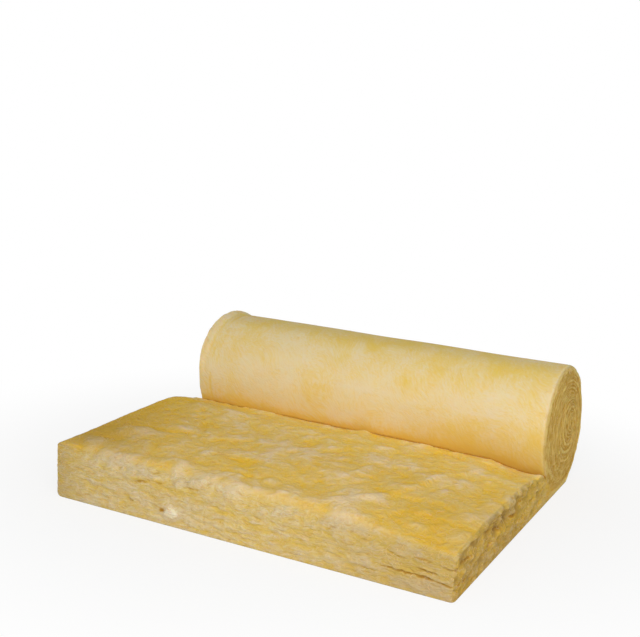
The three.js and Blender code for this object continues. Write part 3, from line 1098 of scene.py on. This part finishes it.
def wool_steps(colours):
    """The steps of the wool's material: name, kind, and what fills its sockets. A word stands for
    an earlier step of that name, a pattern, or a value that is stored on the mesh."""
    return (
        # single strands show as thin curved lines, pale where they stand up, and brown with painted
        # shade where they part
        ("raised", "difference", "wisps", 0.47),
        ("raised", "distance", "raised"),
        ("raised", "ramp", "raised", 0.04, 0.0),
        ("parted", "difference", "wisps", 0.58),
        ("parted", "distance", "parted"),
        ("parted", "ramp", "parted", 0.03, 0.0),
        # the open top: yellow binder in the hollows, under pale and dusty fibre ends
        ("weave", "sum", "strands", 3.0, "tone"),
        ("lift", "sum", "specks", 1.6, "weave"),
        ("bare", "ramp", "lift", 0.9, 2.5),
        ("dusty", "ramp", "lift", 2.1, 3.6),
        ("top", "coat", "bare", colours.bare, colours.straw),
        ("top", "coat", "dusty", "top", colours.dust),
        # cut faces: felted wool in soft beds, with loose tufts
        ("fine", "mix", "wound", "felt", "burrs"),
        ("broad", "mix", "wound", "beds", "turns"),
        ("felted", "sum", "fine", 2.6, "tone"),
        ("bedded", "sum", "broad", 2.2, "felted"),
        ("pale", "ramp", "bedded", 1.5, 3.6),
        ("fluffy", "ramp", "bedded", 4.2, 5.6),
        ("front", "coat", "pale", colours.bed, colours.bed_dust),
        ("front", "coat", "fluffy", "front", colours.fluff),
        # painted shade: the slab side is partly a darker copy of the cut face
        ("slab side", "coat", "pale", colours.side, colours.side_dust),
        ("roll end", "coat", "pale", colours.end, colours.end_dust),
        ("ends", "coat", "wound", "slab side", "roll end"),
        ("face", "coat", "side", "front", "ends"),
        # fine dark ticks of painted shade where the cut faces have split
        ("ticked", "ramp", "ticks", 0.56, 0.74, 0.5),
        ("face", "coat", "ticked", "face", colours.tick),
        # the laps on the roll's ends: brown and ragged where one lap meets the next, as painted
        # shade in the crease
        ("ragged", "sum", "burrs", 0.9, "seam"),
        ("lapped", "ramp", "ragged", 1.05, 1.6, 0.35),
        ("face", "coat", "lapped", "face", colours.lap),
        # painted shade in and beside deep splits
        ("torn", "ramp", "split", 0.2, 0.7),
        ("face", "coat", "torn", "face", colours.deep),
        # the underside, pressed to a skin: pale, with faint yellow clouds and fine hairs
        ("clouds", "sum", "tone", 0.6, "haze"),
        ("clouds", "sum", "hair", 0.5, "clouds"),
        ("clouds", "sum", "lint", 0.55, "clouds"),
        ("clear", "ramp", "clouds", 0.47, 1.38),
        ("skin", "coat", "clear", colours.skin, colours.skin_dust),
        # all of them together, then the single strands, which don't show on the roll, and the brown
        # that is partly wear and partly painted shade
        ("colour", "coat", "wound", "top", "skin"),
        ("colour", "coat", "cut", "colour", "face"),
        ("strength", "mix", "cut", 0.1, 0.26),
        ("strength", "mix", "wound", "strength", 0.0),
        ("pale strands", "product", "raised", "strength"),
        ("colour", "coat", "pale strands", "colour", colours.fluff),
        ("brown strands", "product", "parted", "strength"),
        ("colour", "coat", "brown strands", "colour", colours.tick),
        ("colour", "coat", "wear_and_shade", "colour", colours.wear_and_shade),
        # near the roll painted bounce light is added to the open part, and the line itself is
        # darkened with painted shade
        ("bounce", "even ramp", "nip", 330 * MM, 20 * MM),
        ("bounce", "mix", "wound", "bounce", 0.0),
        ("colour", "light", "bounce", "colour", colours.glow),
        ("shade", "ramp", "nip", 9 * MM, 0.0, 0.8),
        ("colour", "coat", "shade", "colour", colours.meeting),
        # relief: strands on top, curls on the cut faces, hairs on the skin
        ("nap", "sum", "strands", 1.5, "specks"),
        ("nap", "sum", "raised", 0.12, "nap"),
        ("curls", "sum", "ticks", -0.7, "fine"),
        ("curls", "sum", "raised", 0.15, "curls"),
        ("hairs", "product", "lint", 0.4),
        ("height", "mix", "wound", "nap", "hairs"),
        ("height", "mix", "cut", "height", "curls"),
    )


def glass_wool(colours):
    """Glass wool: fine glass fibres held by a yellow binder. It is matt, so where fibre ends stand
    up it looks pale and dusty, and in hollows, where light bounces from wool to wool, deep
    yellow."""
    material, tree, shader = new_material("glass wool with yellow binder")
    wool = add_node(tree, "ShaderNodeAttribute", attribute_name="wool").outputs["Vector"]
    made = {
        name: add_node(tree, "ShaderNodeAttribute", attribute_name=name).outputs["Fac"]
        for name in STORED
    }

    # bends that every pattern shares: fibres lie in slow sweeps and tight curls
    bends = {}
    for name, reach in (("drift", 150 * MM), ("curl", 24 * MM)):
        scattered = add_node(
            tree, "ShaderNodeTexNoise", {"Vector": wool, "Scale": 1 / reach, "Detail": 1.0}
        )
        bends[name] = add_node(
            tree,
            "ShaderNodeVectorMath",
            {0: scattered.outputs["Color"], 1: (0.5, 0.5, 0.5)},
            operation="SUBTRACT",
        )
    for index, (name, (size, turn, detail, *amounts)) in enumerate(PATTERNS.items()):
        bent = wool
        for bend, amount in zip(bends.values(), amounts):
            bent = add_node(
                tree,
                "ShaderNodeVectorMath",
                {0: bend, 1: (amount * MM,) * 3, 2: bent},
                operation="MULTIPLY_ADD",
            )
        laid = add_node(
            tree,
            "ShaderNodeMapping",
            {
                "Vector": bent,
                "Location": (PATTERN_SHIFT * index, 0, 0),
                "Rotation": (0, 0, math.radians(turn)),
                "Scale": tuple(length * MM for length in size),
            },
            vector_type="TEXTURE",
        )
        made[name] = add_node(
            tree,
            "ShaderNodeTexNoise",
            {"Vector": laid, "Scale": 1.0, "Detail": detail, "Roughness": 0.6},
        )

    for name, kind, *values in wool_steps(colours):
        node, sockets, settings = STEP_KINDS[kind]
        values = [made[value] if isinstance(value, str) else value for value in values]
        made[name] = add_node(tree, node, dict(zip(sockets, values)), **settings)
    bump = add_node(
        tree, "ShaderNodeBump", {"Height": made["height"], "Strength": 0.9, "Distance": 5 * MM}
    )
    tree.links.new(made["colour"].outputs[2], shader.inputs["Base Color"])
    tree.links.new(bump.outputs[0], shader.inputs["Normal"])
    for name, value in (
        ("Roughness", 0.95),
        ("Specular IOR Level", 0.15),
        ("Subsurface Weight", 0.5),
        ("Subsurface Radius", (1.0, 0.7, 0.3)),
        ("Subsurface Scale", 4 * MM),
    ):
        shader.inputs[name].default_value = value
    return material


def loose_fibre(colours):
    """Loose glass fibres in small bundles: pale, and a little less matt than the felted wool."""
    material, tree, shader = new_material("loose glass fibre")
    place = add_node(tree, "ShaderNodeTexCoord").outputs["Object"]
    patches = add_node(
        tree, "ShaderNodeTexNoise", {"Vector": place, "Scale": 1 / (60 * MM), "Detail": 2.0}
    )
    share = add_node(
        tree, "ShaderNodeMapRange", {"Value": patches, "From Min": 0.35, "From Max": 0.65}
    )
    colour = add_node(
        tree, "ShaderNodeMix", {0: share, 1: colours.straw, 2: colours.dust}, data_type="RGBA"
    )
    tree.links.new(colour.outputs[2], shader.inputs["Base Color"])
    shader.inputs["Roughness"].default_value = 0.7
    shader.inputs["Specular IOR Level"].default_value = 0.3
    return material


# ---- loose fibres -----------------------------------------------------------


class LooseFibres:
    """Fibres that have worked loose and lie on the wool, bent by its tufts. Real ones are far
    thinner than a hair, so each stands for a small bundle."""

    SEED = 11
    COUNT = 1500
    STEPS = 7
    RADIUS = (0.3 * MM, 0.5 * MM)
    STEP_LENGTH = (2 * MM, 5 * MM)
    # how far a fibre stands off the wool, and how much more in its middle, at most
    STAND_OFF = 0.3 * MM
    ARCH = 2 * MM
    # a fibre's middle line stays this far above the floor
    LOWEST = 0.7 * MM
    # spread in radians of its heading, of its steady bend and of its wandering at each step
    SPREAD = 0.7
    BEND = 0.45
    WANDER = 0.16
    # its thickness at the tips, as a share of that in the middle
    TIP_SHARE = 0.3
    # how many of them lie on each kind of surface, for its area, and none near the floor
    SHARES = {"top": 1.0, "cut": 1.6, "skin": 0.12}
    FLOOR_GAP = 8 * MM
    # a face looks sideways, forwards or down where its normal leans this far that way
    LEAN = 0.5
    # depth of the roll from the back, and of the sawn front from the free end
    ROLL_DEPTH = 0.46
    FRONT_DEPTH = 0.05

    def __init__(self, fleece):
        self.wool = bmesh.new()
        self.wool.from_mesh(fleece.data)
        self.tree = BVHTree.FromBMesh(self.wool)
        self.chance = random.Random(self.SEED)

    def share(self, face):
        """How many fibres a face carries for its size."""
        middle = face.calc_center_median()
        if middle.z < self.FLOOR_GAP or face.normal.z < -self.LEAN:
            return 0
        on_front = face.normal.y < -self.LEAN and middle.y < FRAME_LOW.y + self.FRONT_DEPTH
        if abs(face.normal.x) > self.LEAN or on_front:
            return self.SHARES["cut"]
        on_roll = middle.y > FRAME_HIGH.y - self.ROLL_DEPTH
        return self.SHARES["skin" if on_roll else "top"]

    def path(self, face):
        """Points along one fibre. It keeps to the wool, with its ends tucked in."""
        chance = self.chance
        place, normal = face.calc_center_median(), face.normal.copy()
        heading = normal.cross(Vector((0, 0, 1)) if abs(normal.z) < 0.7 else Vector((0, 1, 0)))
        heading.normalize()
        heading.rotate(Quaternion(normal, chance.gauss(0, self.SPREAD)))
        step = chance.uniform(*self.STEP_LENGTH)
        bend = chance.gauss(0, self.BEND) * 4 * MM / step
        arch = self.ARCH * chance.random() ** 2
        points = []
        for index in range(self.STEPS + 1):
            share = index / self.STEPS
            lift = arch * math.sin(math.pi * share) + self.STAND_OFF
            point = place + normal * lift
            point.z = max(point.z, self.LOWEST)
            points.append(point)
            heading.rotate(Quaternion(normal, bend + chance.gauss(0, self.WANDER)))
            ahead, normal, _, _ = self.tree.find_nearest(place + heading * step)
            heading = (ahead - place).normalized() if (ahead - place).length > 0 else heading
            place = ahead
        return points

    def finished(self, name):
        self.wool.faces.ensure_lookup_table()
        faces = list(self.wool.faces)
        weights = [face.calc_area() * self.share(face) for face in faces]
        curve = bpy.data.curves.new(name, "CURVE")
        curve.dimensions = "3D"
        curve.bevel_depth = 1.0
        curve.bevel_resolution = 0
        curve.use_fill_caps = True
        for face in self.chance.choices(faces, weights, k=self.COUNT):
            points = self.path(face)
            spline = curve.splines.new("POLY")
            spline.points.add(len(points) - 1)
            radius = self.chance.uniform(*self.RADIUS)
            for index, (point, place) in enumerate(zip(spline.points, points)):
                point.co = (*place, 1)
                swell = math.sin(math.pi * index / self.STEPS)
                point.radius = radius * lerp(self.TIP_SHARE, 1, swell)
        self.wool.free()
        shape = bpy.data.objects.new(name, curve)
        data = bpy.data.meshes.new_from_object(shape)
        bpy.data.objects.remove(shape)
        bpy.data.curves.remove(curve)
        return placed(bpy.context.collection, name, data)


# ---- operators --------------------------------------------------------------


class INSULATION_OT_blanket(bpy.types.Operator):
    """Make the glass-wool blanket"""

    bl_idname = "insulation.blanket"
    bl_label = "Glass-wool blanket"

    def execute(self, context):
        wool = BlanketMesh(Section(context.scene.blanket_sizes))
        wool.build()
        piece = wool.finished("glass_wool_fleece")
        piece.data.materials.append(glass_wool(context.scene.wool_colours))
        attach(piece, "root")
        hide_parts("glass_wool_blanket")
        print("blanket triangles", sum(len(p.vertices) - 2 for p in piece.data.polygons))
        return {"FINISHED"}


class INSULATION_OT_fibres(bpy.types.Operator):
    """Scatter loose fibres over the blanket"""

    bl_idname = "insulation.fibres"
    bl_label = "Loose fibres"

    def execute(self, context):
        piece = LooseFibres(bpy.data.objects["glass_wool_fleece"]).finished("loose_fibres")
        piece.data.materials.append(loose_fibre(context.scene.wool_colours))
        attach(piece, "root")
        print("fibre triangles", sum(len(p.vertices) - 2 for p in piece.data.polygons))
        return {"FINISHED"}


# The stage: a floor that fades into the backdrop between two distances from the middle, an even
# surround, one softbox, and a camera given by degrees round, degrees up and degrees of lean.
FLOOR_HALF = 12
FLOOR_FADE = (0.6, 1.6)
SURROUND_STRENGTH = 0.39
SOFTBOX_TOWARDS = (0.43, -0.745, 0.51)
SOFTBOX_AIM = (0, 0, 0.15)
SOFTBOX_SIZE = 2.4
SOFTBOX_DISTANCE = 3.4
SOFTBOX_LEVEL = 0.56
CAMERA_ANGLES = (27.24, 11.06, 3.0)
CAMERA_PLACE = (1.3290, -2.74095, 1.1030)
FOCAL_PIXELS = 1043.04
PICTURE_PIXELS = 640
SENSOR_WIDTH = 36


class INSULATION_OT_stage(bpy.types.Operator):
    """Make the floor, the lamps and the camera"""

    bl_idname = "insulation.stage"
    bl_label = "Stage"

    def execute(self, context):
        scene = context.scene
        mesh = bmesh.new()
        bmesh.ops.create_grid(mesh, x_segments=1, y_segments=1, size=FLOOR_HALF)
        data = bpy.data.meshes.new("floor")
        mesh.to_mesh(data)
        mesh.free()
        floor = placed(scene.collection, "floor", data)
        data.materials.append(pale_floor())
        light_studio(scene)
        place_camera(scene)
        scene.view_settings.view_transform = "Standard"
        return {"FINISHED"}


def seen_directly(tree):
    """1 for what the camera sees straight, mirrored or through glass, 0 for light on the object."""
    path = add_node(tree, "ShaderNodeLightPath")
    seen = path.outputs["Is Camera Ray"]
    for way in ("Is Glossy Ray", "Is Transmission Ray"):
        seen = add_node(
            tree, "ShaderNodeMath", {0: seen, 1: path.outputs[way]}, operation="MAXIMUM"
        )
    return seen


def pale_floor():
    """Matt white paper that fades into the backdrop but keeps a faint shadow round the object."""
    material, tree, shader = new_material("matt white paper")
    shader.inputs["Base Color"].default_value = linear("#F2F2F0")
    shader.inputs["Roughness"].default_value = 1.0
    glow = add_node(tree, "ShaderNodeEmission", {"Color": "#FFFFFF", "Strength": 1.0})
    place = add_node(tree, "ShaderNodeTexCoord").outputs["Object"]
    reach = add_node(tree, "ShaderNodeVectorMath", {0: place}, operation="LENGTH")
    fade = add_node(
        tree,
        "ShaderNodeMapRange",
        {"Value": reach, "From Min": FLOOR_FADE[0], "From Max": FLOOR_FADE[1], "To Min": 0.8},
        interpolation_type="SMOOTHSTEP",
    )
    share = add_node(
        tree, "ShaderNodeMath", {0: seen_directly(tree), 1: fade}, operation="MULTIPLY"
    )
    blend = add_node(tree, "ShaderNodeMixShader", {0: share, 1: shader, 2: glow})
    tree.links.new(blend.outputs[0], tree.nodes["Material Output"].inputs["Surface"])
    return material


def light_studio(scene):
    """An even white surround and one big softbox at the front, low and to the right."""
    world = bpy.data.worlds.new("studio")
    scene.world = world
    world.use_nodes = True
    tree = world.node_tree
    fill = tree.nodes["Background"]
    fill.inputs["Color"].default_value = linear("#FFFFFF")
    fill.inputs["Strength"].default_value = SURROUND_STRENGTH
    backdrop = add_node(tree, "ShaderNodeBackground", {"Color": "#FFFFFF", "Strength": 1.0})
    blend = add_node(tree, "ShaderNodeMixShader", {0: seen_directly(tree), 1: fill, 2: backdrop})
    tree.links.new(blend.outputs[0], tree.nodes["World Output"].inputs["Surface"])
    towards = Vector(SOFTBOX_TOWARDS).normalized()
    lamp = bpy.data.lights.new("softbox", "AREA")
    lamp.shape = "DISK"
    lamp.size = SOFTBOX_SIZE
    lamp.energy = SOFTBOX_LEVEL * math.pi**2 * SOFTBOX_DISTANCE**2
    softbox = placed(scene.collection, "softbox", lamp)
    softbox.location = towards * SOFTBOX_DISTANCE + Vector(SOFTBOX_AIM)
    softbox.rotation_euler = towards.to_track_quat("Z", "Y").to_euler()


def place_camera(scene):
    """A camera to the right of the front, which looks down a little and leans."""
    azimuth, elevation, lean = (math.radians(angle) for angle in CAMERA_ANGLES)
    back = Vector(
        (
            math.sin(azimuth) * math.cos(elevation),
            -math.cos(azimuth) * math.cos(elevation),
            math.sin(elevation),
        )
    )
    right = (-back).cross(Vector((0, 0, 1))).normalized()
    up = right.cross(-back)
    leaning_right = right * math.cos(lean) + up * math.sin(lean)
    leaning_up = -right * math.sin(lean) + up * math.cos(lean)
    turn = Matrix((leaning_right, leaning_up, back)).transposed()
    data = bpy.data.cameras.new("camera")
    data.lens = FOCAL_PIXELS / PICTURE_PIXELS * SENSOR_WIDTH
    camera = placed(scene.collection, "camera", data)
    camera.matrix_world = turn.to_4x4()
    camera.location = CAMERA_PLACE
    scene.camera = camera


class INSULATION_PT_panel(bpy.types.Panel):
    """Lists the blanket's sizes and colours and what can be made"""

    bl_idname = "INSULATION_PT_panel"
    bl_label = "Glass-wool roll"
    bl_space_type = "VIEW_3D"
    bl_region_type = "UI"
    bl_category = "Insulation"

    def draw(self, context):
        layout = self.layout
        for group in (context.scene.blanket_sizes, context.scene.wool_colours):
            for name in group.__annotations__:
                layout.prop(group, name)
        for operator in OPERATORS:
            layout.operator(operator.bl_idname)


OPERATORS = (INSULATION_OT_blanket, INSULATION_OT_fibres, INSULATION_OT_stage)
CLASSES = (BlanketSizes, WoolColours, *OPERATORS, INSULATION_PT_panel)


def register():
    for cls in CLASSES:
        bpy.utils.register_class(cls)
    bpy.types.Scene.blanket_sizes = PointerProperty(type=BlanketSizes)
    bpy.types.Scene.wool_colours = PointerProperty(type=WoolColours)


def unregister():
    del bpy.types.Scene.wool_colours
    del bpy.types.Scene.blanket_sizes
    for cls in reversed(CLASSES):
        bpy.utils.unregister_class(cls)


def main():
    register()
    bpy.ops.insulation.blanket()
    bpy.ops.insulation.fibres()
    bpy.ops.insulation.stage()


if __name__ == "__main__":
    main()
